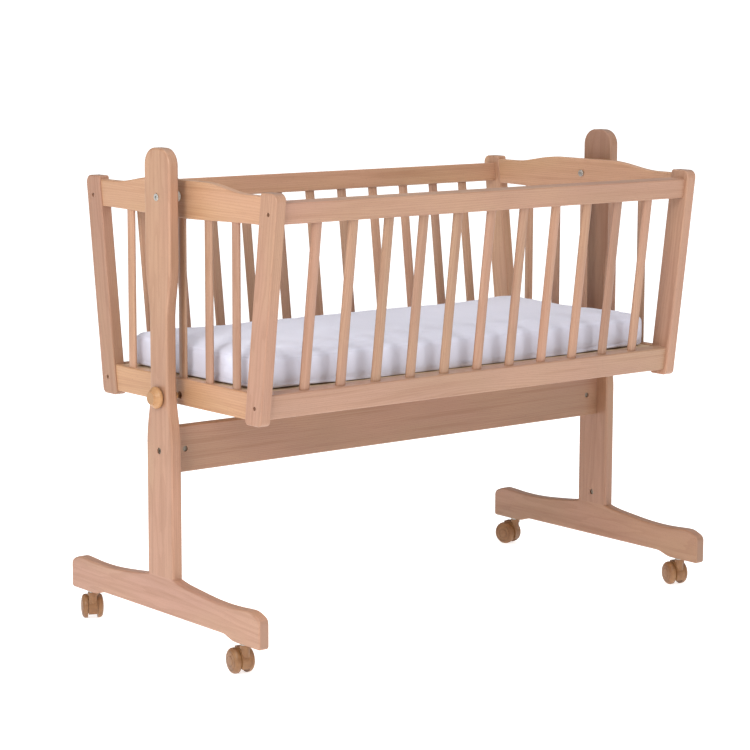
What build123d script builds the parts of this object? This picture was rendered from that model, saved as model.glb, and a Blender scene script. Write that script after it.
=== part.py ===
from build123d import *
import os
from math import cos, radians, sin, tan

# A swinging baby cradle in beech: two uprights on feet carry a slatted basket between
# them on two pivot bolts, a lock peg parks in one upright, and four twin-wheel casters
# stand under the feet.  +X runs along the cradle, +Y across it, +Z up.  The origin is on
# the floor, under the middle of the cradle.  All lengths are in millimetres.

os.makedirs("parts", exist_ok=True)

# ------------------------------------------------------------------ fits and edges
RUN = 0.08             # radial clearance of a turning or sliding fit
SNUG = 0.05            # radial clearance of a fastener or dowel in its hole
GAP = 0.3              # air left between neighbours that don't touch
FLUSH = 0.5            # how far a let-in head or nut lies below its surface
BORE_SPARE = 2.0       # extra depth of a blind bore
NEAR = 1.0             # margin that tells one edge or corner from the next
SAME = 0.01            # two radii this close are the same
HEX = 6                # sides of a key socket
ARRIS = 4.0            # rounding on the long edges of the boards
SOFT = 2.5             # rounding on the edges of rails

# ------------------------------------------------------------------ stand
BOARD = 20.0           # thickness of uprights, feet and stretcher
UPRIGHT_OUT = 512.0    # outer face of an upright, from the middle
UPRIGHT_IN = UPRIGHT_OUT - BOARD
UPRIGHT_MID = UPRIGHT_OUT - BOARD / 2
UPRIGHT_TOP = 845.0
SEAT_Z = 123.0         # where an upright stands on its foot
LEG_HALF = 38.0        # half widths of the shaped upright
WAIST_HALF = 25.5
HEAD_HALF = 37.0
LEG_END = 350.0        # heights where the upright's profile changes
WAIST_START = 450.0
WAIST_END = 555.0
HEAD_START = 655.0
HEAD_CORNER = 29.0

FOOT_HALF = 283.0      # half length of a foot
PAD_Z = 52.0           # underside of a foot over its casters
PAD_START = 215.0
BELLY_Z = 60.0         # raised underside between the pads
BELLY_END = 175.0
NOSE_Z = 93.0          # height where the rounded nose of a foot ends
NOSE_MID = (271.0, 107.0)
# upper edge of a foot from its seat outward, |y| and z, and its directions at both ends
FOOT_CURVE = ((88.0, 115.2), (143.0, 110.0), (182.0, 108.6), (215.0, 109.5), (250.0, 111.6))
FOOT_FALL = (1, -0.28)
FOOT_LEVEL = (1, 0.03)
FOOT_ARRIS = 3.5
TOE_ROUND = 5.0
CASTER_X = UPRIGHT_MID
CASTER_Y = 230.0

STRETCHER_LOW = 298.4
STRETCHER_HIGH = 377.6
STRETCHER_MID = (STRETCHER_LOW + STRETCHER_HIGH) / 2

# ------------------------------------------------------------------ basket
LEAN = 7.15            # outward lean of posts, side rails and slats, degrees
POST_REF = (232.4, 400.7)   # a point on the outer face line of a post: |y|, z
POST_LOW = 404.5
POST_HIGH = 784.0
POST_IN = 451.5        # post faces along X
POST_OUT = 472.5
POST_WIDE = 43.4       # horizontal width of a post
POST_ROUND = (13.0, 4.0, 8.0, 10.0)   # outer top, inner top, inner foot, outer foot

RAIL_INSET = 6.4       # side rails sit back from the posts' outer faces
RAIL_THICK = 24.9
TOP_RAIL = (732.5, 767.0)      # heights of the outer faces of the side rails
LOW_RAIL = (413.6, 454.4)

END_IN = 452.5         # end rail faces along X
END_OUT = 469.5
END_MID = (END_IN + END_OUT) / 2
END_LOW_RAIL = (412.0, 457.5)
END_TOP_LOW = 727.0    # lower edge of the shaped top rail at its middle
END_TOP_EDGE = 731.5   # and at its ends
CREST_Z = 790.8        # flat crest of the shaped top rail
CREST_HALF = 70.0
SHOULDER_Z = 777.6     # lower shoulders beside the posts
SHOULDER_START = 195.0

SLAT_WIDE = 20.0
SLAT_THICK = 10.0
SLAT_TENON = 9.0       # how far a slat enters its rails
END_TENON = 12.0       # and an end slat its shaped top rail
MORTISE_OUT = 2.0      # a mortise is cut from just outside the rail
MORTISE_SPARE = 1.0    # to just past the tenon
SIDE_SLATS = 11
SIDE_PITCH = 74.8
END_SLATS = 5
END_PITCH = 77.0

MATTRESS = (900.0, 400.0, 60.0)
MATTRESS_Z = 455.5
MATTRESS_CORNER = 22.0
MATTRESS_ROUND = 12.0
PANEL_LONG = 903.0     # plywood under the mattress
PANEL_THICK = 6.0
PANEL_CORNER = 3.0
PANEL_EASE = 1.0       # air between the plywood and the side rails
BEARER = 15.0          # square section of the battens that carry the plywood
BEARER_LONG = 880.0

# ------------------------------------------------------------------ hardware
PIVOT_Z = 763.5
PIVOT_BOLT_R = 4.0
PIVOT_HEAD_R = 6.3
PIVOT_HEAD = 3.2
PIVOT_NUT_R = 5.5
PIVOT_NUT_DEEP = 16.0
PIVOT_NUT_LIP = 1.6
PIVOT_NUT_CAP = 3.0    # closed end of the sleeve nut
PIVOT_TIP_INSET = 4.0  # the bolt stops this far inside the upright's outer face
PIVOT_KEY_R = 2.6      # hexagonal key sockets: corner radius and depth
PIVOT_KEY = 2.2
PIVOT_RIM = 1.0        # rounding of the bolt heads
NUT_RIM = 0.8
SPACER_R = 9.0

FRAME_BOLT_R = 3.0
FRAME_HEAD_R = 5.5
FRAME_HEAD = 4.0       # depth of the recess for its head
FRAME_SUNK = 1.5       # and how far the head lies below the surface
FRAME_KEY_R = 3.0
FRAME_KEY = 1.8
BOLT_PAST = 10.0       # a frame bolt passes the middle of its barrel nut
BARREL_R = 5.0
BARREL_LONG = 13.0
BARREL_SUNK = 2.5      # a barrel nut lies this far inside its bore
STRETCHER_NUT_X = 465.7
FOOT_NUT_Z = 144.0
FOOT_RECESS = 10.0

POST_BOLT_R = 2.5
POST_BOLT_HEAD_R = 3.5
POST_BOLT_HEAD = 3.0
POST_BOLT_SUNK = 6.0
POST_BOLT_LONG = 48.0
POST_KEY_R = 1.95
POST_KEY = 2.0
RAIL_BORE = 36.0       # depth of the bolt's bore in a side rail
INSERT_R = 4.5
INSERT_LONG = 18.0
DOWEL_R = 4.0
DOWEL_LONG = 36.0
DOWEL_BORE = 37.0      # half of it in each of the joined pieces

PEG_Z = 429.0
PEG_R = 6.0
PEG_TIP = 475.0        # parked tip of the lock peg, just clear of the basket
PEG_CHAMFER = 1.0
PEG_SOCKET = 12.0
PEG_EASE = 0.5         # radial ease of the peg in its socket
KNOB_R = 18.0
KNOB_NECK_R = 11.0
KNOB_FACE_R = 8.5
KNOB_LONG = 17.0
KNOB_BELLY = 0.45      # share of its length where the knob is widest
KNOB_RIM = (2.0, 3.0)  # rounded rim of its face: back from the face, out from it

# ------------------------------------------------------------------ casters
WHEEL_R = 21.5
WHEEL_IN = 8.6         # inner face of a wheel, from the middle of the caster
WHEEL_TREAD = 12.5     # end of the flat tread
WHEEL_DOME = (16.6, 19.4)   # a point on the rounded shoulder: along the axle, radius
WHEEL_OUT = 20.2       # crown of the domed outer face
RING_R = 14.7          # shallow ring groove in the outer face
RING_OUT = 18.4
RING_WIDE = 0.8
RING_DEEP = 0.8
RING_STEP = 0.2        # the middle of the face stands this much proud of its rim
INNER_RING = (8.4, 9.3, 18.8)   # radii of a second groove, and its bottom along the axle
TRAIL = 17.0
AXLE_R = 2.5
AXLE_HALF = 15.5
HOOD_HALF = 8.0        # the hood is a web between the wheels with a wall round its front
HOOD_R = 24.2
HOOD_BACK_R = 14.0
HOOD_FROM = 78.0       # arc of the wall, degrees from the trail
HOOD_TO = 208.0
NECK_R = 7.4
NECK_LOW = 30.0
COLLAR_R = 9.0         # collar that meets the sleeve in the foot
COLLAR_LOW = 44.5
COLLAR_HIGH = 50.4
STEM_R = 4.0
STEM_LOW = 36.0
STEM_HIGH = 84.0
STEM_CHAMFER = 1.0
SLEEVE_R = 5.5
SLEEVE_HIGH = 86.0
SLEEVE_CAP = 1.0       # closed end of a sleeve
SLEEVE_LIP_R = 8.0
SLEEVE_LIP = 1.2
# name: sign of x, sign of y, direction of the trail in degrees from +X
CASTERS = {
    "front_left": (-1, -1, 82.0),
    "back_left": (-1, 1, 62.0),
    "front_right": (1, -1, 75.0),
    "back_right": (1, 1, 104.0),
}

SIDES = {"left": -1, "right": 1}
FACES = {"front": -1, "back": 1}


def save(builder, label):
    """Name a finished piece and write its STEP file."""
    builder.part.label = label
    export_step(builder.part, f"parts/{label}.step")


def outer_y(z):
    """Distance of the leaning outer face of the posts from the middle plane at height z."""
    return POST_REF[0] + (z - POST_REF[1]) * tan(radians(LEAN))


def end_half(z):
    """Half width of an end rail where it meets the inner faces of the posts."""
    return outer_y(z) - POST_WIDE


def lean_plane(face):
    """The posts' outer face: x along the cradle, y up the slope, z outward."""
    c, s = cos(radians(LEAN)), sin(radians(LEAN))
    return Plane(
        origin=(0, face * POST_REF[0], POST_REF[1]),
        x_dir=(-face, 0, 0),
        z_dir=(0, face * c, -s),
    )


def slope(z):
    """Distance up the leaning plane of a point on the outer face at height z."""
    return (z - POST_REF[1]) / cos(radians(LEAN))


def along_x(x, y, z, side=1):
    """A plane at a point, facing outward along X."""
    return Plane(origin=(x, y, z), x_dir=(0, side, 0), z_dir=(side, 0, 0))


def bore_dowels(side, face, heights):
    """Bore across the joints between an end rail and a post for their dowels."""
    for z in heights:
        with Locations((side * END_MID, face * end_half(z), z)):
            Cylinder(DOWEL_R + SNUG, DOWEL_BORE, rotation=(90, 0, 0), mode=Mode.SUBTRACT)


SLOPE_INSET = RAIL_INSET * cos(radians(LEAN))
SLOPE_RAIL = RAIL_THICK * cos(radians(LEAN))
SLAT_IN = SLOPE_INSET + SLOPE_RAIL / 2
TOP_RAIL_MID = sum(TOP_RAIL) / 2
LOW_RAIL_MID = sum(LOW_RAIL) / 2
# rail centres, where the post bolts run: |y|, z
RAIL_AXES = [
    (outer_y(z) - RAIL_INSET - RAIL_THICK / 2, z)
    for z in (TOP_RAIL_MID, LOW_RAIL_MID)
]
# heights of the dowels between the end rails and the posts
DOWEL_ZS = {"top": (742.0, 764.0), "bottom": (422.0, 447.0)}

# =================================================================== stand
for side_name, side in SIDES.items():
    # ---------------------------------------------------------------- upright
    with BuildPart() as upright:
        with BuildSketch(Plane.YZ.offset(side * UPRIGHT_MID)):
            with BuildLine():
                seat = Line((0, SEAT_Z), (LEG_HALF, SEAT_Z))
                leg = Line(seat @ 1, (LEG_HALF, LEG_END))
                taper = Spline(
                    leg @ 1, (WAIST_HALF, WAIST_START), tangents=((0, 1), (0, 1))
                )
                waist = Line(taper @ 1, (WAIST_HALF, WAIST_END))
                flare = Spline(
                    waist @ 1, (HEAD_HALF, HEAD_START), tangents=((0, 1), (0, 1))
                )
                head = Line(flare @ 1, (HEAD_HALF, UPRIGHT_TOP - HEAD_CORNER))
                corner = TangentArc(
                    head @ 1,
                    (HEAD_HALF - HEAD_CORNER, UPRIGHT_TOP),
                    tangent=(0, 1),
                )
                Line(corner @ 1, (0, UPRIGHT_TOP))
                mirror(about=Plane.YZ)
            make_face()
        extrude(amount=BOARD / 2, both=True)
        outline = upright.faces().filter_by(Axis.X).edges()
        fillet(outline.filter_by(lambda e: e.center().Z > SEAT_Z + NEAR), radius=ARRIS)
        # pivot bolt and the sleeve nut that screws onto it from outside
        with Locations(along_x(side * UPRIGHT_OUT, 0, PIVOT_Z, side)):
            CounterBoreHole(
                PIVOT_BOLT_R + SNUG, PIVOT_NUT_R + SNUG, PIVOT_NUT_DEEP + SNUG, BOARD
            )
        # stretcher bolt with its head let into the outer face
        with Locations(along_x(side * UPRIGHT_OUT, 0, STRETCHER_MID, side)):
            CounterBoreHole(
                FRAME_BOLT_R + SNUG, FRAME_HEAD_R + SNUG, FRAME_HEAD, BOARD
            )
        # cross bore for the foot's barrel nut, open on the inner face
        with Locations(along_x(side * UPRIGHT_IN, 0, FOOT_NUT_Z, -side)):
            Hole(BARREL_R + SNUG, depth=BARREL_SUNK + BARREL_LONG + FLUSH)
        # foot bolt, up from the seat and just past the nut
        with Locations(Plane(origin=(side * UPRIGHT_MID, 0, SEAT_Z), z_dir=(0, 0, -1))):
            Hole(FRAME_BOLT_R + SNUG, depth=FOOT_NUT_Z - SEAT_Z + BOLT_PAST + BORE_SPARE)
        if side_name == "left":
            with Locations(along_x(side * UPRIGHT_OUT, 0, PEG_Z, side)):
                Hole(PEG_R + RUN, depth=BOARD)
    save(upright, f"upright_{side_name}")

    # ---------------------------------------------------------------- foot
    with BuildPart() as foot:
        with BuildSketch(Plane.YZ.offset(side * UPRIGHT_MID)):
            with BuildLine():
                seat = Line((0, SEAT_Z), (LEG_HALF, SEAT_Z))
                top = Spline(seat @ 1, *FOOT_CURVE, tangents=(FOOT_FALL, FOOT_LEVEL))
                nose = Spline(
                    top @ 1,
                    NOSE_MID,
                    (FOOT_HALF, NOSE_Z),
                    tangents=(FOOT_LEVEL, (0, -1)),
                )
                end = Line(nose @ 1, (FOOT_HALF, PAD_Z))
                pad = Line(end @ 1, (PAD_START, PAD_Z))
                step = Spline(
                    pad @ 1, (BELLY_END, BELLY_Z), tangents=((-1, 0), (-1, 0))
                )
                Line(step @ 1, (0, BELLY_Z))
                mirror(about=Plane.YZ)
            make_face()
            toes = vertices().filter_by(
                lambda v: abs(v.Y - PAD_Z) < NEAR and abs(v.X) > FOOT_HALF - NEAR
            )
            fillet(toes, radius=TOE_ROUND)
        extrude(amount=BOARD / 2, both=True)
        outline = foot.faces().filter_by(Axis.X).edges()
        fillet(outline.filter_by(lambda e: e.center().Z < SEAT_Z - NEAR), radius=FOOT_ARRIS)
        # foot bolt with its head let into the underside
        with Locations(Plane(origin=(side * UPRIGHT_MID, 0, BELLY_Z), z_dir=(0, 0, -1))):
            CounterBoreHole(
                FRAME_BOLT_R + SNUG, FRAME_HEAD_R + SNUG, FOOT_RECESS, SEAT_Z - BELLY_Z
            )
        # sleeves for the caster stems
        for y in (-CASTER_Y, CASTER_Y):
            with Locations(Plane(origin=(side * CASTER_X, y, PAD_Z), z_dir=(0, 0, -1))):
                Hole(SLEEVE_R + SNUG, depth=SLEEVE_HIGH - PAD_Z + BORE_SPARE)
    save(foot, f"foot_{side_name}")

# -------------------------------------------------------------------- stretcher
with BuildPart() as stretcher:
    with BuildSketch(Plane.YZ.offset(-UPRIGHT_IN)):
        with Locations((0, STRETCHER_MID)):
            RectangleRounded(BOARD, STRETCHER_HIGH - STRETCHER_LOW, SOFT)
    extrude(amount=2 * UPRIGHT_IN)
    for side in SIDES.values():
        with Locations(along_x(side * UPRIGHT_IN, 0, STRETCHER_MID, side)):
            Hole(
                FRAME_BOLT_R + SNUG,
                depth=UPRIGHT_IN - STRETCHER_NUT_X + BOLT_PAST + BORE_SPARE,
            )
        with Locations(
            Plane(
                origin=(side * STRETCHER_NUT_X, -BOARD / 2, STRETCHER_MID),
                z_dir=(0, -1, 0),
            )
        ):
            Hole(BARREL_R + SNUG, depth=BARREL_SUNK + BARREL_LONG + FLUSH)
save(stretcher, "stretcher")

# =================================================================== stand hardware
with BuildPart() as stretcher_bolts:
    for side in SIDES.values():
        head = along_x(side * (UPRIGHT_OUT - FRAME_SUNK), 0, STRETCHER_MID, side)
        with BuildSketch(head):
            Circle(FRAME_HEAD_R)
        extrude(amount=-(FRAME_HEAD - FRAME_SUNK))
        with BuildSketch(head):
            Circle(FRAME_BOLT_R)
        extrude(amount=-(UPRIGHT_OUT - FRAME_SUNK - STRETCHER_NUT_X + BOLT_PAST))
        with BuildSketch(head):
            RegularPolygon(FRAME_KEY_R, HEX)
        extrude(amount=-FRAME_KEY, mode=Mode.SUBTRACT)
save(stretcher_bolts, "stretcher_bolts")

with BuildPart() as stretcher_barrel_nuts:
    for side in SIDES.values():
        with BuildSketch(
            Plane(
                origin=(side * STRETCHER_NUT_X, -BOARD / 2 + BARREL_SUNK, STRETCHER_MID),
                z_dir=(0, -1, 0),
            )
        ):
            Circle(BARREL_R)
        extrude(amount=-BARREL_LONG)
        with Locations(along_x(side * STRETCHER_NUT_X, 0, STRETCHER_MID, side)):
            Cylinder(FRAME_BOLT_R + SNUG, BOARD, mode=Mode.SUBTRACT)
save(stretcher_barrel_nuts, "stretcher_barrel_nuts")

with BuildPart() as foot_bolts:
    for side in SIDES.values():
        under = Plane(
            origin=(side * UPRIGHT_MID, 0, BELLY_Z + FOOT_RECESS), z_dir=(0, 0, -1)
        )
        with BuildSketch(under):
            Circle(FRAME_HEAD_R)
        extrude(amount=FRAME_HEAD)
        with BuildSketch(under):
            Circle(FRAME_BOLT_R)
        extrude(amount=-(FOOT_NUT_Z + BOLT_PAST - BELLY_Z - FOOT_RECESS))
save(foot_bolts, "foot_bolts")

with BuildPart() as foot_barrel_nuts:
    for side in SIDES.values():
        with BuildSketch(along_x(side * (UPRIGHT_IN + BARREL_SUNK), 0, FOOT_NUT_Z, side)):
            Circle(BARREL_R)
        extrude(amount=BARREL_LONG)
        with Locations((side * UPRIGHT_MID, 0, FOOT_NUT_Z)):
            Cylinder(FRAME_BOLT_R + SNUG, BOARD, mode=Mode.SUBTRACT)
save(foot_barrel_nuts, "foot_barrel_nuts")

with BuildPart() as caster_sleeves:
    for side_x, side_y, _ in CASTERS.values():
        under = Plane(
            origin=(side_x * CASTER_X, side_y * CASTER_Y, PAD_Z), z_dir=(0, 0, -1)
        )
        with BuildSketch(under):
            Circle(SLEEVE_R)
        extrude(amount=-(SLEEVE_HIGH - PAD_Z))
        with BuildSketch(under):
            Circle(SLEEVE_LIP_R)
        extrude(amount=SLEEVE_LIP)
        with BuildSketch(under.offset(SLEEVE_LIP)):
            Circle(STEM_R + RUN)
        extrude(amount=-(SLEEVE_HIGH - SLEEVE_CAP - PAD_Z + SLEEVE_LIP), mode=Mode.SUBTRACT)
save(caster_sleeves, "caster_sleeves")

# -------------------------------------------------------------------- pivots
HEAD_FACE = END_IN - GAP - PIVOT_HEAD
PIVOT_TIP = UPRIGHT_OUT - PIVOT_TIP_INSET
with BuildPart() as pivot_bolts:
    for side in SIDES.values():
        face = along_x(side * HEAD_FACE, 0, PIVOT_Z, side)
        with BuildSketch(face):
            Circle(PIVOT_HEAD_R)
        extrude(amount=PIVOT_HEAD)
        with BuildSketch(face):
            Circle(PIVOT_BOLT_R)
        extrude(amount=PIVOT_TIP - HEAD_FACE)
        with BuildSketch(face):
            RegularPolygon(PIVOT_KEY_R, HEX)
        extrude(amount=PIVOT_KEY, mode=Mode.SUBTRACT)
    rims = pivot_bolts.edges().filter_by(GeomType.CIRCLE).filter_by(
        lambda e: abs(e.radius - PIVOT_HEAD_R) < SAME and abs(e.center().X) < HEAD_FACE + NEAR
    )
    fillet(rims, radius=PIVOT_RIM)
save(pivot_bolts, "pivot_bolts")

with BuildPart() as pivot_nuts:
    for side in SIDES.values():
        face = along_x(side * UPRIGHT_OUT, 0, PIVOT_Z, side)
        with BuildSketch(face):
            Circle(PIVOT_NUT_R)
        extrude(amount=-PIVOT_NUT_DEEP)
        with BuildSketch(face):
            Circle(PIVOT_HEAD_R)
        extrude(amount=PIVOT_NUT_LIP)
        with BuildSketch(face.offset(-PIVOT_NUT_DEEP)):
            Circle(PIVOT_BOLT_R + SNUG)
        extrude(amount=PIVOT_NUT_DEEP - PIVOT_NUT_CAP, mode=Mode.SUBTRACT)
        with BuildSketch(face.offset(PIVOT_NUT_LIP)):
            RegularPolygon(PIVOT_KEY_R, HEX)
        extrude(amount=-PIVOT_KEY, mode=Mode.SUBTRACT)
    rims = pivot_nuts.edges().filter_by(GeomType.CIRCLE).filter_by(
        lambda e: abs(e.radius - PIVOT_HEAD_R) < SAME and abs(e.center().X) > UPRIGHT_OUT + NEAR
    )
    fillet(rims, radius=NUT_RIM)
save(pivot_nuts, "pivot_nuts")

with BuildPart() as pivot_spacers:
    for side in SIDES.values():
        with BuildSketch(along_x(side * (END_OUT + GAP), 0, PIVOT_Z, side)):
            Circle(SPACER_R)
            Circle(PIVOT_BOLT_R + SNUG, mode=Mode.SUBTRACT)
        extrude(amount=UPRIGHT_IN - END_OUT - GAP)
save(pivot_spacers, "pivot_spacers")

# =================================================================== basket posts
for side_name, side in SIDES.items():
    for face_name, face in FACES.items():
        with BuildPart() as post:
            with BuildSketch(Plane.YZ.offset(side * (POST_IN + POST_OUT) / 2)):
                corners = [
                    (face * outer_y(POST_HIGH), POST_HIGH),
                    (face * (outer_y(POST_HIGH) - POST_WIDE), POST_HIGH),
                    (face * (outer_y(POST_LOW) - POST_WIDE), POST_LOW),
                    (face * outer_y(POST_LOW), POST_LOW),
                ]
                with BuildLine():
                    Polyline(*corners, close=True)
                make_face()
                for corner, radius in zip(corners, POST_ROUND):
                    fillet(vertices().sort_by_distance((*corner, 0))[0], radius=radius)
            extrude(amount=(POST_OUT - POST_IN) / 2, both=True)
            fillet(post.faces().filter_by(Axis.X).edges(), radius=SOFT)
            # bolts into the ends of the side rails, heads sunk below the outer face
            for y, z in RAIL_AXES:
                with Locations(along_x(side * POST_OUT, face * y, z, side)):
                    CounterBoreHole(
                        POST_BOLT_R + SNUG,
                        POST_BOLT_HEAD_R + SNUG,
                        POST_BOLT_SUNK + POST_BOLT_HEAD,
                        POST_OUT - POST_IN,
                    )
            bore_dowels(side, face, DOWEL_ZS["top"] + DOWEL_ZS["bottom"])
        save(post, f"post_{face_name}_{side_name}")

# =================================================================== side rails
SLAT_XS = [(i - (SIDE_SLATS - 1) / 2) * SIDE_PITCH for i in range(SIDE_SLATS)]
for face_name, face in FACES.items():
    for level, (low, high) in {"top": TOP_RAIL, "bottom": LOW_RAIL}.items():
        plane = lean_plane(face).offset(-SLOPE_INSET)
        middle = (slope(low) + slope(high)) / 2
        tall = slope(high) - slope(low)
        with BuildPart() as rail:
            with BuildSketch(plane):
                with Locations((0, middle)):
                    Rectangle(2 * POST_IN, tall)
            extrude(amount=-SLOPE_RAIL)
            fillet(rail.edges().filter_by(Axis.X), radius=SOFT)
            # mortises for the slats
            edge = slope(low) if level == "top" else slope(high)
            inward = 1 if level == "top" else -1
            mouth = Plane(
                origin=plane.offset(-SLOPE_RAIL / 2).from_local_coords(
                    Vector(0, edge - inward * MORTISE_OUT, 0)
                ),
                x_dir=(1, 0, 0),
                z_dir=plane.y_dir * inward,
            )
            with BuildSketch(mouth):
                with Locations(*[(x, 0) for x in SLAT_XS]):
                    Ellipse(SLAT_WIDE / 2 + SNUG, SLAT_THICK / 2 + SNUG)
            extrude(amount=MORTISE_OUT + SLAT_TENON + MORTISE_SPARE, mode=Mode.SUBTRACT)
            # threaded inserts for the post bolts
            y, z = RAIL_AXES[0] if level == "top" else RAIL_AXES[1]
            for side in SIDES.values():
                with Locations(along_x(side * POST_IN, face * y, z, side)):
                    CounterBoreHole(
                        POST_BOLT_R + SNUG,
                        INSERT_R + SNUG,
                        INSERT_LONG + BORE_SPARE / 2,
                        RAIL_BORE,
                    )
        save(rail, f"side_rail_{level}_{face_name}")

# =================================================================== side slats
slat_low = slope(LOW_RAIL[1]) - SLAT_TENON
slat_high = slope(TOP_RAIL[0]) + SLAT_TENON
for face_name, face in FACES.items():
    plane = lean_plane(face).offset(-SLAT_IN)
    foot_plane = Plane(
        origin=plane.from_local_coords(Vector(0, slat_low, 0)),
        x_dir=(1, 0, 0),
        z_dir=plane.y_dir,
    )
    with BuildPart() as slats:
        with BuildSketch(foot_plane):
            with Locations(*[(x, 0) for x in SLAT_XS]):
                Ellipse(SLAT_WIDE / 2, SLAT_THICK / 2)
        extrude(amount=slat_high - slat_low)
    save(slats, f"side_slats_{face_name}")

# =================================================================== end rails
END_YS = [(i - (END_SLATS - 1) / 2) * END_PITCH for i in range(END_SLATS)]

for side_name, side in SIDES.items():
    # ---------------------------------------------------------------- shaped top rail
    with BuildPart() as end_top:
        with BuildSketch(Plane.YZ.offset(side * END_MID)):
            with BuildLine():
                crest = Line((0, CREST_Z), (CREST_HALF, CREST_Z))
                fall = Spline(
                    crest @ 1, (SHOULDER_START, SHOULDER_Z), tangents=((1, 0), (1, 0))
                )
                shoulder = Line(fall @ 1, (end_half(SHOULDER_Z), SHOULDER_Z))
                butt = Line(shoulder @ 1, (end_half(END_TOP_EDGE), END_TOP_EDGE))
                Spline(butt @ 1, (0, END_TOP_LOW), tangents=((-1, 0), (-1, 0)))
                mirror(about=Plane.YZ)
            make_face()
        extrude(amount=(END_OUT - END_IN) / 2, both=True)
        long_edges = end_top.faces().filter_by(Axis.X).edges()
        fillet(
            long_edges.filter_by(lambda e: abs(e.center().Y) < end_half(END_TOP_EDGE)),
            radius=SOFT,
        )
        with Locations(along_x(side * END_OUT, 0, PIVOT_Z, side)):
            Hole(PIVOT_BOLT_R + RUN, depth=END_OUT - END_IN)
        for face in FACES.values():
            bore_dowels(side, face, DOWEL_ZS["top"])
        with BuildSketch(Plane.XY.offset(END_TOP_LOW - MORTISE_OUT)):
            with Locations(*[(side * END_MID, y) for y in END_YS]):
                Ellipse(SLAT_THICK / 2 + SNUG, SLAT_WIDE / 2 + SNUG)
        extrude(amount=MORTISE_OUT + END_TENON + MORTISE_SPARE, mode=Mode.SUBTRACT)
    save(end_top, f"end_rail_top_{side_name}")

    # ---------------------------------------------------------------- straight bottom rail
    low, high = END_LOW_RAIL
    with BuildPart() as end_low:
        with BuildSketch(Plane.YZ.offset(side * END_MID)):
            with BuildLine():
                Polyline(
                    (-end_half(low), low),
                    (end_half(low), low),
                    (end_half(high), high),
                    (-end_half(high), high),
                    close=True,
                )
            make_face()
        extrude(amount=(END_OUT - END_IN) / 2, both=True)
        fillet(end_low.edges().filter_by(Axis.Y), radius=SOFT)
        for face in FACES.values():
            bore_dowels(side, face, DOWEL_ZS["bottom"])
        with BuildSketch(Plane.XY.offset(high + MORTISE_OUT)):
            with Locations(*[(side * END_MID, y) for y in END_YS]):
                Ellipse(SLAT_THICK / 2 + SNUG, SLAT_WIDE / 2 + SNUG)
        extrude(amount=-(MORTISE_OUT + SLAT_TENON + MORTISE_SPARE), mode=Mode.SUBTRACT)
        if side_name == "left":
            # socket that takes the lock peg
            with Locations(along_x(side * END_OUT, 0, PEG_Z, side)):
                Hole(PEG_R + PEG_EASE, depth=PEG_SOCKET)
    save(end_low, f"end_rail_bottom_{side_name}")

    # ---------------------------------------------------------------- end slats
    with BuildPart() as end_slats:
        with BuildSketch(Plane.XY.offset(high - SLAT_TENON)):
            with Locations(*[(side * END_MID, y) for y in END_YS]):
                Ellipse(SLAT_THICK / 2, SLAT_WIDE / 2)
        extrude(amount=END_TOP_LOW + END_TENON - high + SLAT_TENON)
    save(end_slats, f"end_slats_{side_name}")

# =================================================================== bed
with BuildPart() as mattress:
    with BuildSketch(Plane.XY.offset(MATTRESS_Z)):
        RectangleRounded(MATTRESS[0], MATTRESS[1], MATTRESS_CORNER)
    extrude(amount=MATTRESS[2])
    fillet(
        mattress.faces().sort_by(Axis.Z)[-1].edges()
        + mattress.faces().sort_by(Axis.Z)[0].edges(),
        radius=MATTRESS_ROUND,
    )
save(mattress, "mattress")

PANEL_TOP = MATTRESS_Z - GAP
PANEL_LOW = PANEL_TOP - PANEL_THICK
inner_rail_y = outer_y(PANEL_LOW) - RAIL_INSET - RAIL_THICK
with BuildPart() as base_panel:
    with BuildSketch(Plane.XY.offset(PANEL_LOW)):
        RectangleRounded(PANEL_LONG, 2 * (inner_rail_y - PANEL_EASE), PANEL_CORNER)
    extrude(amount=PANEL_THICK)
save(base_panel, "base_panel")

for face_name, face in FACES.items():
    with BuildPart() as bearer:
        with BuildSketch(Plane.YZ.offset(-BEARER_LONG / 2)):
            with BuildLine():
                foot_y = outer_y(PANEL_LOW - BEARER) - RAIL_INSET - RAIL_THICK
                Polyline(
                    (face * inner_rail_y, PANEL_LOW),
                    (face * (foot_y - BEARER), PANEL_LOW),
                    (face * (foot_y - BEARER), PANEL_LOW - BEARER),
                    (face * foot_y, PANEL_LOW - BEARER),
                    close=True,
                )
            make_face()
        extrude(amount=BEARER_LONG)
    save(bearer, f"bearer_{face_name}")

# =================================================================== basket hardware
with BuildPart() as post_bolts:
    for side in SIDES.values():
        for face in FACES.values():
            for y, z in RAIL_AXES:
                head = along_x(side * (POST_OUT - POST_BOLT_SUNK), face * y, z, side)
                with BuildSketch(head):
                    Circle(POST_BOLT_HEAD_R)
                extrude(amount=-POST_BOLT_HEAD)
                with BuildSketch(head):
                    Circle(POST_BOLT_R)
                extrude(amount=-POST_BOLT_LONG)
                with BuildSketch(head):
                    RegularPolygon(POST_KEY_R, HEX)
                extrude(amount=-POST_KEY, mode=Mode.SUBTRACT)
save(post_bolts, "post_bolts")

with BuildPart() as rail_inserts:
    for side in SIDES.values():
        for face in FACES.values():
            for y, z in RAIL_AXES:
                with BuildSketch(along_x(side * (POST_IN - FLUSH), face * y, z, side)):
                    Circle(INSERT_R)
                    Circle(POST_BOLT_R + SNUG, mode=Mode.SUBTRACT)
                extrude(amount=-INSERT_LONG)
save(rail_inserts, "rail_inserts")

with BuildPart() as end_rail_dowels:
    for side in SIDES.values():
        for face in FACES.values():
            for z in DOWEL_ZS["top"] + DOWEL_ZS["bottom"]:
                with Locations((side * END_MID, face * end_half(z), z)):
                    Cylinder(DOWEL_R, DOWEL_LONG, rotation=(90, 0, 0))
save(end_rail_dowels, "end_rail_dowels")

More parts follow.
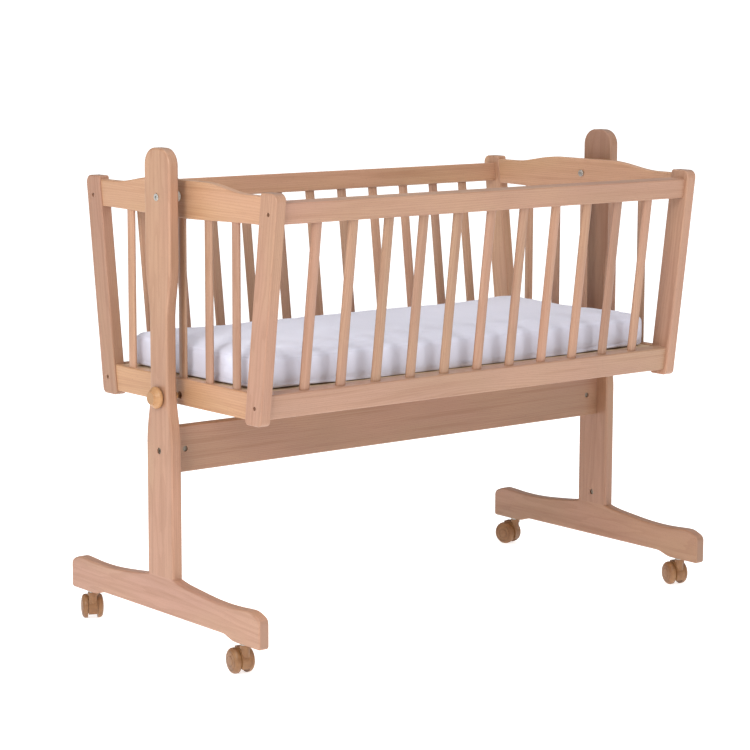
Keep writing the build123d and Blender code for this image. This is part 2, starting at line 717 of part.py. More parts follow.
# =================================================================== lock peg
with BuildPart() as lock_peg:
    with BuildSketch(Plane.XZ):
        with BuildLine():
            # half section of the turned peg and knob, outward along -X
            knob_back = -(UPRIGHT_OUT + GAP)
            knob_front = -(UPRIGHT_OUT + KNOB_LONG)
            tip = Line((-PEG_TIP, PEG_Z), (-PEG_TIP, PEG_Z + PEG_R - PEG_CHAMFER))
            chamfered = Line(tip @ 1, (-PEG_TIP - PEG_CHAMFER, PEG_Z + PEG_R))
            shank = Line(chamfered @ 1, (knob_back, PEG_Z + PEG_R))
            back = Line(shank @ 1, (knob_back, PEG_Z + KNOB_NECK_R))
            bun = Spline(
                back @ 1,
                (knob_back - KNOB_BELLY * KNOB_LONG, PEG_Z + KNOB_R),
                (knob_front + KNOB_RIM[0], PEG_Z + KNOB_FACE_R + KNOB_RIM[1]),
                (knob_front, PEG_Z + KNOB_FACE_R),
                tangents=((0, 1), (0, -1)),
            )
            front = Line(bun @ 1, (knob_front, PEG_Z))
            Line(front @ 1, tip @ 0)
        make_face()
    revolve(axis=Axis((0, 0, PEG_Z), (1, 0, 0)))
save(lock_peg, "lock_peg")

# =================================================================== casters
for name, (side_x, side_y, heading) in CASTERS.items():
    x, y = side_x * CASTER_X, side_y * CASTER_Y
    trail = Vector(cos(radians(heading)), sin(radians(heading)), 0)
    across = Vector(-trail.Y, trail.X, 0)
    profile = Plane(origin=(x, y, 0), x_dir=trail, z_dir=-across)
    axle_at = Vector(x, y, WHEEL_R) + trail * TRAIL
    axle_line = Axis(axle_at, across)

    # ---------------------------------------------------------------- hood
    with BuildPart() as hood:
        with BuildSketch(profile):
            with BuildLine():
                wall = CenterArc((TRAIL, WHEEL_R), HOOD_R, HOOD_FROM, HOOD_TO - HOOD_FROM)
                Line(wall @ 1, (TRAIL, WHEEL_R))
                Line((TRAIL, WHEEL_R), wall @ 0)
            make_face()
            with Locations((TRAIL, WHEEL_R)):
                Circle(HOOD_BACK_R)
        extrude(amount=HOOD_HALF, both=True)
        with BuildSketch(Plane(origin=(x, y, NECK_LOW))):
            Circle(NECK_R)
        extrude(amount=COLLAR_LOW - NECK_LOW)
        with BuildSketch(Plane(origin=(x, y, COLLAR_LOW))):
            Circle(COLLAR_R)
        extrude(amount=COLLAR_HIGH - COLLAR_LOW)
        with BuildSketch(Plane(origin=(x, y, STEM_LOW))):
            Circle(STEM_R + SNUG)
        extrude(amount=COLLAR_HIGH - STEM_LOW, mode=Mode.SUBTRACT)
        with BuildSketch(Plane(origin=axle_at, z_dir=across)):
            Circle(AXLE_R + SNUG)
        extrude(amount=2 * HOOD_HALF, both=True, mode=Mode.SUBTRACT)
    save(hood, f"caster_hood_{name}")

    # ---------------------------------------------------------------- stem
    with BuildPart() as stem:
        with BuildSketch(Plane(origin=(x, y, STEM_LOW + GAP))):
            Circle(STEM_R)
        extrude(amount=STEM_HIGH - STEM_LOW - GAP)
        chamfer(stem.faces().sort_by(Axis.Z)[-1].edges(), length=STEM_CHAMFER)
    save(stem, f"caster_stem_{name}")

    # ---------------------------------------------------------------- axle
    with BuildPart() as axle:
        with BuildSketch(Plane(origin=axle_at, z_dir=across)):
            Circle(AXLE_R)
        extrude(amount=AXLE_HALF, both=True)
    save(axle, f"caster_axle_{name}")

    # ---------------------------------------------------------------- two wheels
    for letter, hand in (("a", 1), ("b", -1)):
        with BuildPart() as wheel:
            with BuildSketch(Plane(origin=axle_at, x_dir=across * hand, z_dir=trail * hand)):
                with BuildLine():
                    inner = Line((WHEEL_IN, 0), (WHEEL_IN, WHEEL_R))
                    tread = Line(inner @ 1, (WHEEL_TREAD, WHEEL_R))
                    dome = ThreePointArc(
                        tread @ 1, WHEEL_DOME, (RING_OUT, RING_R + RING_WIDE)
                    )
                    groove = Polyline(
                        dome @ 1,
                        (RING_OUT - RING_DEEP, RING_R + RING_WIDE),
                        (RING_OUT - RING_DEEP, RING_R),
                        (RING_OUT + RING_STEP, RING_R),
                    )
                    crown = TangentArc((WHEEL_OUT, 0), groove @ 1, tangent=(0, 1))
                    Line(crown @ 0, inner @ 0)
                make_face()
            revolve(axis=axle_line)
            outward = Plane(origin=axle_at, z_dir=across * hand)
            with BuildSketch(outward):
                Circle(AXLE_R + RUN)
            extrude(amount=AXLE_HALF + GAP, mode=Mode.SUBTRACT)
            inner_r, outer_r, bottom = INNER_RING
            with BuildSketch(outward.offset(bottom)):
                Circle(outer_r)
                Circle(inner_r, mode=Mode.SUBTRACT)
            extrude(amount=WHEEL_OUT - bottom, mode=Mode.SUBTRACT)
        save(wheel, f"caster_wheel_{name}_{letter}")
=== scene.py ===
import math

import bmesh
import bpy
from mathutils import Matrix, Vector, noise
from mathutils.bvhtree import BVHTree


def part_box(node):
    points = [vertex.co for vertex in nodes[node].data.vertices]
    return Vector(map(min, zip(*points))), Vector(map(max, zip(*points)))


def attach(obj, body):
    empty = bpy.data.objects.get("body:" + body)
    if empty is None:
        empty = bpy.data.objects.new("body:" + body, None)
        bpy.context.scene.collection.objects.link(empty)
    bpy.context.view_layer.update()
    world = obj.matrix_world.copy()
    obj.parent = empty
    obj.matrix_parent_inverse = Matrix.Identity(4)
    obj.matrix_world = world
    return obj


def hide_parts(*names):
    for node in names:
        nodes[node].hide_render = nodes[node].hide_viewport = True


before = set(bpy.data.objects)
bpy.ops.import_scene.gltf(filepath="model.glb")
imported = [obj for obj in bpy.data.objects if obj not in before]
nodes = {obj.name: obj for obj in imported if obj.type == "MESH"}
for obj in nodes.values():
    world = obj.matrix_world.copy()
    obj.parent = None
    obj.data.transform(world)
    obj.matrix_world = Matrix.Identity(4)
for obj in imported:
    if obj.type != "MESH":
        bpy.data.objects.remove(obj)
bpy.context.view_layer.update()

scene = bpy.context.scene
low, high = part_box("mattress")
MIDDLE = (low + high) / 2     # middle of the mattress, and so of the basket and stand


# ------------------------------------------------------------------ node helpers
class Graph:
    """A small wrapper that adds shader nodes and joins them up."""

    def __init__(self, name):
        self.material = bpy.data.materials.new(name)
        self.material.use_nodes = True
        self.tree = self.material.node_tree
        self.tree.nodes.clear()
        self.output = self.tree.nodes.new("ShaderNodeOutputMaterial")
        self.shader = self.tree.nodes.new("ShaderNodeBsdfPrincipled")
        self.link(self.shader.outputs[0], self.output.inputs[0])

    def link(self, source, target):
        self.tree.links.new(source, target)

    def put(self, value, socket):
        """Set a socket to a constant, or link it to another node's output."""
        if isinstance(value, bpy.types.NodeSocket):
            self.link(value, socket)
        else:
            socket.default_value = value

    def math(self, operation, *values):
        node = self.tree.nodes.new("ShaderNodeMath")
        node.operation = operation
        for value, socket in zip(values, node.inputs):
            self.put(value, socket)
        return node.outputs[0]

    def vector(self, operation, *values):
        node = self.tree.nodes.new("ShaderNodeVectorMath")
        node.operation = operation
        for value, socket in zip(values, node.inputs):
            self.put(value, socket)
        return node.outputs["Value" if operation in ("DOT_PRODUCT", "LENGTH") else "Vector"]

    def noise(self, vector, scale=1.0, detail=2.0, rough=0.5):
        node = self.tree.nodes.new("ShaderNodeTexNoise")
        self.put(vector, node.inputs["Vector"])
        node.inputs["Scale"].default_value = scale
        node.inputs["Detail"].default_value = detail
        node.inputs["Roughness"].default_value = rough
        return node.outputs["Fac"]

    def grain(self, vector, along, across, location=(0, 0, 0), **how):
        """Noise with one scale along x and another across it."""
        drawn_out = self.mapped(vector, location, scale=(along, across, across))
        return self.noise(drawn_out, **how)

    def steps(self, value, start, stop, to_start=0.0, to_stop=1.0, smooth=True):
        """Map value from start..stop to to_start..to_stop, held at the ends."""
        node = self.tree.nodes.new("ShaderNodeMapRange")
        node.interpolation_type = "SMOOTHSTEP" if smooth else "LINEAR"
        self.put(value, node.inputs["Value"])
        node.inputs["From Min"].default_value = start
        node.inputs["From Max"].default_value = stop
        node.inputs["To Min"].default_value = to_start
        node.inputs["To Max"].default_value = to_stop
        return node.outputs["Result"]

    def mix(self, factor, first, second):
        """Mix two colours."""
        node = self.tree.nodes.new("ShaderNodeMix")
        node.data_type = "RGBA"
        self.put(factor, node.inputs[0])
        self.put(first, node.inputs[6])
        self.put(second, node.inputs[7])
        return node.outputs[2]

    def coordinates(self, output="Object"):
        node = self.tree.nodes.new("ShaderNodeTexCoord")
        return node.outputs[output]

    def mapped(self, vector, location=(0, 0, 0), rotation=(0, 0, 0), scale=(1, 1, 1)):
        node = self.tree.nodes.new("ShaderNodeMapping")
        self.put(vector, node.inputs["Vector"])
        node.inputs["Location"].default_value = location
        node.inputs["Rotation"].default_value = rotation
        node.inputs["Scale"].default_value = scale
        return node.outputs[0]

    def bump(self, height, strength, distance, under=None):
        node = self.tree.nodes.new("ShaderNodeBump")
        node.inputs["Strength"].default_value = strength
        node.inputs["Distance"].default_value = distance
        self.put(height, node.inputs["Height"])
        if under is not None:
            self.put(under, node.inputs["Normal"])
        return node.outputs[0]


def grey(value):
    return (value, value, value, 1.0)


def tone(colour, factor):
    return tuple(c * factor for c in colour) + (1.0,)


# ------------------------------------------------------------------ wood
BEECH = (0.445, 0.256, 0.169)
RING = 0.0034          # spacing of the growth rings
PITH = 0.075           # how far the middle of the tree is from a board
TAPER = 0.035          # how much the rings change along a board, against across it
WANDER = 9.0           # slow bends of the rings, in ring spacings
RIPPLE = 0.9           # fine waves of the rings, in ring spacings
LATE_DEPTH = 0.34      # how strongly each feature darkens or pales the wood
STREAK_DEPTH = 0.55
FIBRE_DEPTH = 0.24
FLECK_DEPTH = 0.45
END_GRAIN_DEPTH = 0.75
RUB_AND_HIGHLIGHT_DEPTH = 0.22
ARRIS = 0.0035         # width of the paler edges: rubbed wear and painted highlight
STICK_SHADES = (0.84, 1.08)     # the darkest and the palest stick of a row
STICK_APART = 3.0      # how far apart in the tree two sticks of a row come from
STICK_PITH = (0.0, 0.05, 0.05)  # how the distance from the pith differs between sticks


def wood(name, along, seed, colour=BEECH, pitch=None, figure=1.0):
    """Lacquered beech with its grain along a direction.

    pitch is (axis, spacing, place of the middle stick) where a node holds a row of
    separate sticks: each stick then gets wood of its own."""
    g = Graph(name)
    along = Vector(along).normalized()
    helper = Vector((0, 1, 0)) if abs(along.y) < 0.6 else Vector((1, 0, 0))
    side = along.cross(helper).normalized()
    turn = math.radians(seed * 77 % 360)
    first = side * math.cos(turn) + along.cross(side) * math.sin(turn)
    second = along.cross(first)
    rotation = Matrix((along, first, second)).to_euler("XYZ")
    place = g.coordinates()
    spread = (seed * 1.37 % 3.1, seed * 0.73 % 2.3, seed * 0.41 % 1.9)
    local = g.mapped(place, spread, rotation)
    rings_at = g.mapped(place, (0, 0, PITH), rotation)
    split = g.tree.nodes.new("ShaderNodeSeparateXYZ")
    g.link(place, split.inputs[0])
    if pitch is not None:
        axis, spacing, start = pitch
        along_row = g.math("SUBTRACT", split.outputs[axis], start)
        cell = g.math("FLOOR", g.math("ADD", g.math("DIVIDE", along_row, spacing), 0.5))
        white = g.tree.nodes.new("ShaderNodeTexWhiteNoise")
        white.noise_dimensions = "1D"
        g.link(cell, white.inputs["W"])
        per_piece = g.vector("SCALE", white.outputs["Color"])
        per_piece.node.inputs["Scale"].default_value = STICK_APART
        local = g.vector("ADD", local, per_piece)
        stick = white.outputs["Value"]
        shift = g.vector("MULTIPLY", white.outputs["Color"], STICK_PITH)
        rings_at = g.vector("ADD", rings_at, shift)

    # growth rings, which wander along and across the board
    wander = g.grain(local, 2.2, 16, detail=2)
    ripple = g.grain(local, 14, 90, detail=3)
    radius = g.vector("LENGTH", g.vector("MULTIPLY", rings_at, (TAPER, 1.0, 1.0)))
    phase = g.math("DIVIDE", radius, RING)
    phase = g.math("ADD", phase, g.math("MULTIPLY", wander, WANDER * figure))
    phase = g.math("ADD", phase, g.math("MULTIPLY", ripple, RIPPLE))
    saw = g.math("FRACT", phase)
    late = g.math("MULTIPLY", g.steps(saw, 0.35, 0.93), g.steps(saw, 1.0, 0.94))

    # fibres, the short dark flecks of beech, long streaks, and slow changes of colour
    fibre = g.grain(local, 22, 900, detail=3, rough=0.6)
    fleck = g.steps(g.grain(local, 230, 1700, detail=1), 0.655, 0.72)
    streak = g.grain(local, 3.5, 130, detail=3, rough=0.55)
    cloud = g.grain(local, 5, 14, detail=3)
    blush = g.grain(local, 3, 9, location=(7, 3, 5), detail=2)

    pale = tone(colour, 1.14)
    dark = (colour[0] * 0.74, colour[1] * 0.62, colour[2] * 0.52, 1.0)
    rosy = (colour[0] * 1.0, colour[1] * 0.93, colour[2] * 0.97, 1.0)
    sandy = (colour[0] * 1.02, colour[1] * 1.07, colour[2] * 0.95, 1.0)
    base = g.mix(g.steps(cloud, 0.3, 0.7), tone(colour, 0.93), pale)
    base = g.mix(0.55, base, g.mix(g.steps(blush, 0.35, 0.65), rosy, sandy))
    base = g.mix(g.math("MULTIPLY", late, LATE_DEPTH * figure), base, dark)
    base = g.mix(g.steps(streak, 0.46, 0.74, 0.0, STREAK_DEPTH), base, dark)
    base = g.mix(g.steps(fibre, 0.35, 0.75, 0.0, FIBRE_DEPTH), base, dark)
    base = g.mix(g.math("MULTIPLY", fleck, FLECK_DEPTH), base, tone(colour, 0.42))
    if pitch is not None:
        shade = g.steps(stick, 0, 1, *STICK_SHADES, smooth=False)
        base = g.vector("SCALE", base)
        g.put(shade, base.node.inputs["Scale"])

    # end grain is darker, and the rounded arrises are painted paler: partly rubbed wear, partly
    # painted highlight
    facing = g.math("ABSOLUTE", g.vector("DOT_PRODUCT", g.coordinates("Normal"), tuple(along)))
    end = g.steps(facing, 0.72, 0.98)
    pores = g.grain(local, 300, 1500, detail=2)
    end_colour = g.mix(g.steps(pores, 0.4, 0.7), tone(colour, 0.80), tone(colour, 0.62))
    base = g.mix(g.math("MULTIPLY", end, END_GRAIN_DEPTH), base, end_colour)
    occlusion = g.tree.nodes.new("ShaderNodeAmbientOcclusion")
    occlusion.inside = True
    occlusion.samples = 4
    occlusion.only_local = True
    occlusion.inputs["Distance"].default_value = ARRIS
    rub_and_highlight = g.steps(occlusion.outputs["AO"], 0.62, 0.30)
    rub_and_highlight = g.math("MULTIPLY", rub_and_highlight, g.steps(cloud, 0.35, 0.65, 0.35, 1.0))
    # paler edges: partly rubbed wear, partly painted highlight
    base = g.mix(g.math("MULTIPLY", rub_and_highlight, RUB_AND_HIGHLIGHT_DEPTH), base, tone(colour, 1.22))
    g.put(base, g.shader.inputs["Base Color"])

    satin = g.math("ADD", g.math("MULTIPLY", fibre, 0.12), g.math("MULTIPLY", cloud, 0.10))
    rough = g.math("ADD", satin, 0.36)
    rough = g.math("ADD", rough, g.math("MULTIPLY", rub_and_highlight, 0.06))
    g.put(rough, g.shader.inputs["Roughness"])
    g.shader.inputs["Coat Weight"].default_value = 0.22
    g.shader.inputs["Coat Roughness"].default_value = 0.33
    g.shader.inputs["Specular IOR Level"].default_value = 0.42
    relief = g.math("ADD", g.math("MULTIPLY", fibre, 0.7), g.math("MULTIPLY", late, 0.25))
    relief = g.math("SUBTRACT", relief, g.math("MULTIPLY", fleck, 0.35))
    g.put(g.bump(relief, 0.28, 0.00022), g.shader.inputs["Normal"])
    return g.material


# ------------------------------------------------------------------ plywood
PLY = 0.0024           # two layers of the plywood


def plywood(name):
    """Birch plywood: figured faces, and light and dark layers in its edges."""
    g = Graph(name)
    place = g.coordinates()
    split = g.tree.nodes.new("ShaderNodeSeparateXYZ")
    g.link(place, split.inputs[0])
    layer = g.math("FRACT", g.math("DIVIDE", split.outputs[2], PLY))
    layer = g.steps(layer, 0.46, 0.54)
    fibre = g.grain(place, 18, 600, detail=3)
    cloud = g.grain(place, 3, 11, detail=3)
    figure = g.grain(place, 2.5, 60, detail=4, rough=0.6)
    face = g.mix(g.steps(cloud, 0.3, 0.7), (0.60, 0.43, 0.27, 1), (0.68, 0.50, 0.33, 1))
    face = g.mix(g.steps(figure, 0.45, 0.75, 0, 0.35), face, (0.42, 0.27, 0.15, 1))
    face = g.mix(g.steps(fibre, 0.4, 0.75, 0, 0.2), face, (0.38, 0.25, 0.14, 1))
    edge = g.mix(layer, (0.58, 0.40, 0.24, 1), (0.36, 0.22, 0.12, 1))
    up = g.math("ABSOLUTE", g.vector("DOT_PRODUCT", g.coordinates("Normal"), (0, 0, 1)))
    g.put(g.mix(g.steps(up, 0.4, 0.6), edge, face), g.shader.inputs["Base Color"])
    g.put(g.steps(fibre, 0, 1, 0.55, 0.75), g.shader.inputs["Roughness"])
    g.put(g.bump(fibre, 0.25, 0.0002), g.shader.inputs["Normal"])
    return g.material


# ------------------------------------------------------------------ metal and plastic
TARNISH = (0.40, 0.37, 0.31, 1)


def steel(name, colour=(0.55, 0.54, 0.51), rough=0.30):
    """Plated steel, brushed, with spots and tarnished patches."""
    g = Graph(name)
    place = g.coordinates()
    brushed = g.noise(g.mapped(place, scale=(900, 900, 2600)), detail=3)
    spots = g.noise(place, scale=260, detail=4, rough=0.65)
    dull = g.noise(place, scale=55, detail=3)
    base = g.mix(g.steps(spots, 0.35, 0.7), tone(colour, 1.05), tone(colour, 0.78))
    base = g.mix(g.steps(dull, 0.5, 0.75, 0, 0.5), base, TARNISH)
    g.put(base, g.shader.inputs["Base Color"])
    g.shader.inputs["Metallic"].default_value = 1.0
    g.put(g.steps(spots, 0.2, 0.8, rough - 0.08, rough + 0.18), g.shader.inputs["Roughness"])
    g.put(g.bump(brushed, 0.2, 0.00008), g.shader.inputs["Normal"])
    return g.material


def plastic(name, colour, dark, seed=0.0, rough=0.42):
    """Moulded nylon, a little mottled, with scuffs."""
    g = Graph(name)
    place = g.mapped(g.coordinates(), location=(seed, seed * 0.7, seed * 1.3))
    swirl = g.noise(place, scale=60, detail=4, rough=0.6)
    fine = g.noise(place, scale=1400, detail=2)
    scuff = g.noise(g.mapped(place, scale=(240, 240, 900)), detail=3, rough=0.7)
    base = g.mix(g.steps(swirl, 0.3, 0.7), colour + (1,), dark + (1,))
    base = g.mix(g.steps(scuff, 0.62, 0.78, 0, 0.35), base, tone(colour, 1.35))
    base = g.mix(g.steps(fine, 0.4, 0.7, 0, 0.12), base, tone(dark, 0.7))
    g.put(base, g.shader.inputs["Base Color"])
    g.put(g.steps(scuff, 0.3, 0.8, rough - 0.06, rough + 0.2), g.shader.inputs["Roughness"])
    g.shader.inputs["Specular IOR Level"].default_value = 0.5
    relief = g.math("ADD", g.math("MULTIPLY", fine, 0.5), g.math("MULTIPLY", scuff, 0.5))
    g.put(g.bump(relief, 0.18, 0.0002), g.shader.inputs["Normal"])
    return g.material


# ------------------------------------------------------------------ cotton
COTTON = (0.735, 0.745, 0.865)
COTTON_THREAD = (0.69, 0.70, 0.81)
WEAVE = 0.0011         # from one thread of the weave to the next but one


def cotton(name, colour=COTTON):
    """Plain weave, two sets of threads at right angles on every side of the pad."""
    g = Graph(name)
    place = g.coordinates()
    split = g.tree.nodes.new("ShaderNodeSeparateXYZ")
    g.link(place, split.inputs[0])
    normal = g.tree.nodes.new("ShaderNodeSeparateXYZ")
    g.link(g.coordinates("Normal"), normal.inputs[0])
    up = g.steps(g.math("ABSOLUTE", normal.outputs[2]), 0.55, 0.75)
    end = g.steps(g.math("ABSOLUTE", normal.outputs[0]), 0.55, 0.75)
    turns = 2 * math.pi / WEAVE
    waves = [g.math("SINE", g.math("MULTIPLY", split.outputs[i], turns)) for i in range(3)]

    def pick(factor, off, on):
        """Mix two numbers."""
        node = g.tree.nodes.new("ShaderNodeMix")
        g.put(factor, node.inputs[0])
        g.put(off, node.inputs[2])
        g.put(on, node.inputs[3])
        return node.outputs[0]

    warp = pick(end, waves[0], waves[1])
    weft = pick(up, waves[2], waves[1])
    weft = pick(g.math("MULTIPLY", up, end), weft, waves[0])
    weave = g.math("MULTIPLY", warp, weft)
    slub = g.grain(place, 60, 900, detail=3, rough=0.6)
    weft_slub = g.noise(g.mapped(place, scale=(900, 60, 900)), detail=3, rough=0.6)
    soft = g.noise(place, scale=5, detail=3)
    crease = g.noise(g.mapped(place, scale=(26, 26, 14)), detail=4, rough=0.55)
    base = g.mix(g.steps(soft, 0.3, 0.7), tone(colour, 0.965), tone(colour, 1.02))
    slubs = g.steps(g.math("ADD", slub, weft_slub), 0.8, 1.3, 0, 0.16)
    base = g.mix(slubs, base, tone(colour, 0.88))
    base = g.mix(g.steps(weave, -1, 0.2, 0.12, 0.0), base, tone(colour, 0.72))
    g.put(base, g.shader.inputs["Base Color"])
    g.put(g.steps(slub, 0.2, 0.8, 0.82, 0.95), g.shader.inputs["Roughness"])
    g.shader.inputs["Sheen Weight"].default_value = 0.25
    g.shader.inputs["Sheen Roughness"].default_value = 0.5
    g.shader.inputs["Specular IOR Level"].default_value = 0.25
    fine = g.bump(g.math("ADD", weave, slub), 0.35, 0.00025)
    g.put(g.bump(crease, 0.30, 0.006, fine), g.shader.inputs["Normal"])
    return g.material


def thread(name, colour=COTTON_THREAD):
    """Twisted sewing thread."""
    g = Graph(name)
    place = g.coordinates()
    ply = g.grain(place, 2400, 2400, detail=2)
    wear = g.noise(place, scale=90, detail=3)
    base = g.mix(g.steps(ply, 0.35, 0.65), tone(colour, 0.82), tone(colour, 1.05))
    base = g.mix(g.steps(wear, 0.4, 0.7, 0, 0.3), base, tone(colour, 0.9))
    g.put(base, g.shader.inputs["Base Color"])
    g.put(g.steps(ply, 0.3, 0.7, 0.6, 0.85), g.shader.inputs["Roughness"])
    g.shader.inputs["Sheen Weight"].default_value = 0.3
    g.put(g.bump(ply, 0.3, 0.0002), g.shader.inputs["Normal"])
    return g.material


def dress(node, material):
    """Give a CAD node its material; its mesh and place stay as they are."""
    mesh = nodes[node].data
    mesh.materials.clear()
    mesh.materials.append(material)


# ------------------------------------------------------------------ wooden pieces
LEAN = math.radians(7.15)
UP = (0, 0, 1)
ALONG = (1, 0, 0)
ACROSS = (0, 1, 0)


def leaning(sign):
    """The direction of the posts and side slats: front is -1, back is 1."""
    return (0, sign * math.sin(LEAN), math.cos(LEAN))


grains = {
    "upright_left": UP,
    "upright_right": UP,
    "foot_left": ACROSS,
    "foot_right": ACROSS,
    "stretcher": ALONG,
    "bearer_front": ALONG,
    "bearer_back": ALONG,
}
for face, sign in (("front", -1), ("back", 1)):
    for level in ("top", "bottom"):
        grains[f"side_rail_{level}_{face}"] = ALONG
    for side in ("left", "right"):
        grains[f"post_{face}_{side}"] = leaning(sign)
for side in ("left", "right"):
    for level in ("top", "bottom"):
        grains[f"end_rail_{level}_{side}"] = ACROSS
# each board comes from a different tree: its own depth of colour and warmth
TONES = (
    (1.0, 1.0, 1.0),
    (0.94, 0.92, 0.90),
    (1.04, 1.03, 0.96),
    (0.98, 0.95, 0.98),
    (1.02, 1.05, 1.0),
)
# and these boards have tones set to how bright they look under this light: partly their own wood,
# partly painted light and shade (end rails paler; right upright, right foot, stretcher, left
# posts and front rails darker)
WOOD_AND_PAINTED_LIGHT_TONES = {
    "end_rail_top_left": (1.13, 1.14, 1.02),
    "end_rail_top_right": (1.22, 1.23, 1.14),
    "end_rail_bottom_left": (1.11, 1.07, 0.93),
    "end_rail_bottom_right": (1.11, 1.07, 0.93),
    "stretcher": (0.77, 0.75, 0.75),
    "upright_right": (0.78, 0.76, 0.74),
    "foot_right": (0.82, 0.79, 0.76),
    "post_back_left": (0.84, 0.80, 0.78),
    "post_front_left": (0.90, 0.88, 0.88),
    "side_rail_top_front": (0.93, 0.92, 0.94),
    "side_rail_bottom_front": (0.92, 0.95, 0.97),
}
# tones from the table above bring painted light and shade into these boards' colours
for seed, (node, along) in enumerate(sorted(grains.items())):
    per_piece = WOOD_AND_PAINTED_LIGHT_TONES.get(node, TONES[seed * 3 % len(TONES)])
    colour = tuple(c * t for c, t in zip(BEECH, per_piece))
    dress(node, wood(f"beech_{node}", along, seed + 1.0, colour=colour))

SIDE_PITCH = 0.0748    # from one side slat to the next
END_PITCH = 0.077      # from one end slat to the next
for seed, (face, sign) in enumerate((("front", -1), ("back", 1))):
    row = (0, SIDE_PITCH, MIDDLE.x)
    material = wood(f"beech_slats_{face}", leaning(sign), 31.0 + seed, pitch=row)
    dress(f"side_slats_{face}", material)
for seed, side in enumerate(("left", "right")):
    row = (1, END_PITCH, MIDDLE.y)
    material = wood(f"beech_slats_{side}", UP, 41.0 + seed, pitch=row)
    dress(f"end_slats_{side}", material)
dress("end_rail_dowels", wood("beech_dowels", ACROSS, 51.0))
HONEY = (0.46, 0.245, 0.105)
dress("lock_peg", wood("beech_peg", ALONG, 57.0, colour=HONEY, figure=0.8))
dress("base_panel", plywood("birch_plywood"))

# ------------------------------------------------------------------ hardware
zinc = steel("zinc_plated_steel")
for node in ("foot_bolts", "caster_sleeves", "pivot_bolts", "pivot_nuts", "rail_inserts"):
    dress(node, zinc)
# the bolts and barrel nuts in the joints sit in shade: their steel is darkened as painted shade
shade_darkened_steel = steel("steel_darkened_as_painted_shade", colour=(0.26, 0.22, 0.18), rough=0.48)
for node in ("stretcher_bolts", "stretcher_barrel_nuts", "foot_barrel_nuts", "post_bolts"):
    dress(node, shade_darkened_steel)
dress("pivot_spacers", plastic("nylon_spacer", (0.74, 0.72, 0.66), (0.66, 0.63, 0.56)))

OCHRE = (0.29, 0.142, 0.057)
OCHRE_DARK = (0.20, 0.085, 0.029)
for seed, corner in enumerate(("front_left", "back_left", "front_right", "back_right")):
    dress(f"caster_hood_{corner}", plastic(f"hood_{corner}", OCHRE, OCHRE_DARK, seed * 0.31))
    dress(f"caster_stem_{corner}", zinc)
    dress(f"caster_axle_{corner}", zinc)
    for letter in ("a", "b"):
        dress(
            f"caster_wheel_{corner}_{letter}",
            plastic(f"wheel_{corner}_{letter}", OCHRE, OCHRE_DARK, seed * 0.57 + 0.2, rough=0.38),
        )


# ------------------------------------------------------------------ mattress
TINY = 1e-6


def rounded_box(name, start, stop, corner, edge):
    """A closed box with rounded upright corners and rounded top and bottom edges."""
    bm = bmesh.new()
    size = stop - start
    middle = (stop + start) / 2
    bmesh.ops.create_cube(bm, size=1.0)
    bmesh.ops.scale(bm, vec=size, verts=bm.verts)
    bmesh.ops.translate(bm, vec=middle, verts=bm.verts)
    upright = [e for e in bm.edges if abs(e.verts[0].co.z - e.verts[1].co.z) > size.z / 2]
    bmesh.ops.bevel(bm, geom=upright, offset=corner, segments=6, profile=0.5, affect="EDGES")
    rims = [
        e
        for e in bm.edges
        if abs(e.verts[0].co.z - e.verts[1].co.z) < TINY
        and len(e.link_faces) == 2
        and any(abs(f.normal.z) > 0.9 for f in e.link_faces)
        and any(abs(f.normal.z) < 0.1 for f in e.link_faces)
    ]
    bmesh.ops.bevel(bm, geom=rims, offset=edge, segments=5, profile=0.5, affect="EDGES")
    mesh = bpy.data.meshes.new(name)
    bm.to_mesh(mesh)
    bm.free()
    obj = bpy.data.objects.new(name, mesh)
    scene.collection.objects.link(obj)
    return obj


def apply_modifiers(obj):
    """Bake an object's modifiers into its own mesh."""
    graph = bpy.context.evaluated_depsgraph_get()
    mesh = bpy.data.meshes.new_from_object(obj.evaluated_get(graph))
    obj.modifiers.clear()
    obj.data = mesh


START_IN = Vector((0.003, 0.004, 0.0015))   # room for the pad to swell
SWELL_CAP = 0.006      # the most that a point of the pad may move
CORNER_R, EDGE_R = 0.024, 0.011
VOXEL = 0.0065
TOP_SEAM = 0.009       # from the side in to the seam on top
LOW_SEAM = 0.010       # from the underside up to the seam round the sides
SEAM_REACH = 0.007     # how far beside a seam the cover is pulled in
EDGE_BAND = 0.012      # how near to the top or a side a point counts as on it
SIDE_BAND = 0.008
BASE_BAND = 0.004      # the height of the part that lies flat on the panel
SIM_FRAMES = 20

pad = rounded_box("mattress_pad", low + START_IN, high - START_IN, CORNER_R, EDGE_R)
remesh = pad.modifiers.new("remesh", "REMESH")
remesh.mode = "VOXEL"
remesh.voxel_size = VOXEL
apply_modifiers(pad)
before = [v.co.copy() for v in pad.data.vertices]


def seam_pull(co):
    """1 on the seams round the top and the sides of the cover, falling to 0 beside them."""
    in_x = (high.x - START_IN.x) - MIDDLE.x - abs(co.x - MIDDLE.x)
    in_y = (high.y - START_IN.y) - MIDDLE.y - abs(co.y - MIDDLE.y)
    inset = min(in_x, in_y)
    pull = 0.0
    if co.z > high.z - EDGE_BAND:
        pull = max(pull, 1 - abs(inset - TOP_SEAM) / SEAM_REACH)
    if inset < SIDE_BAND:
        pull = max(pull, 1 - abs(co.z - low.z - LOW_SEAM) / SEAM_REACH)
    return pull


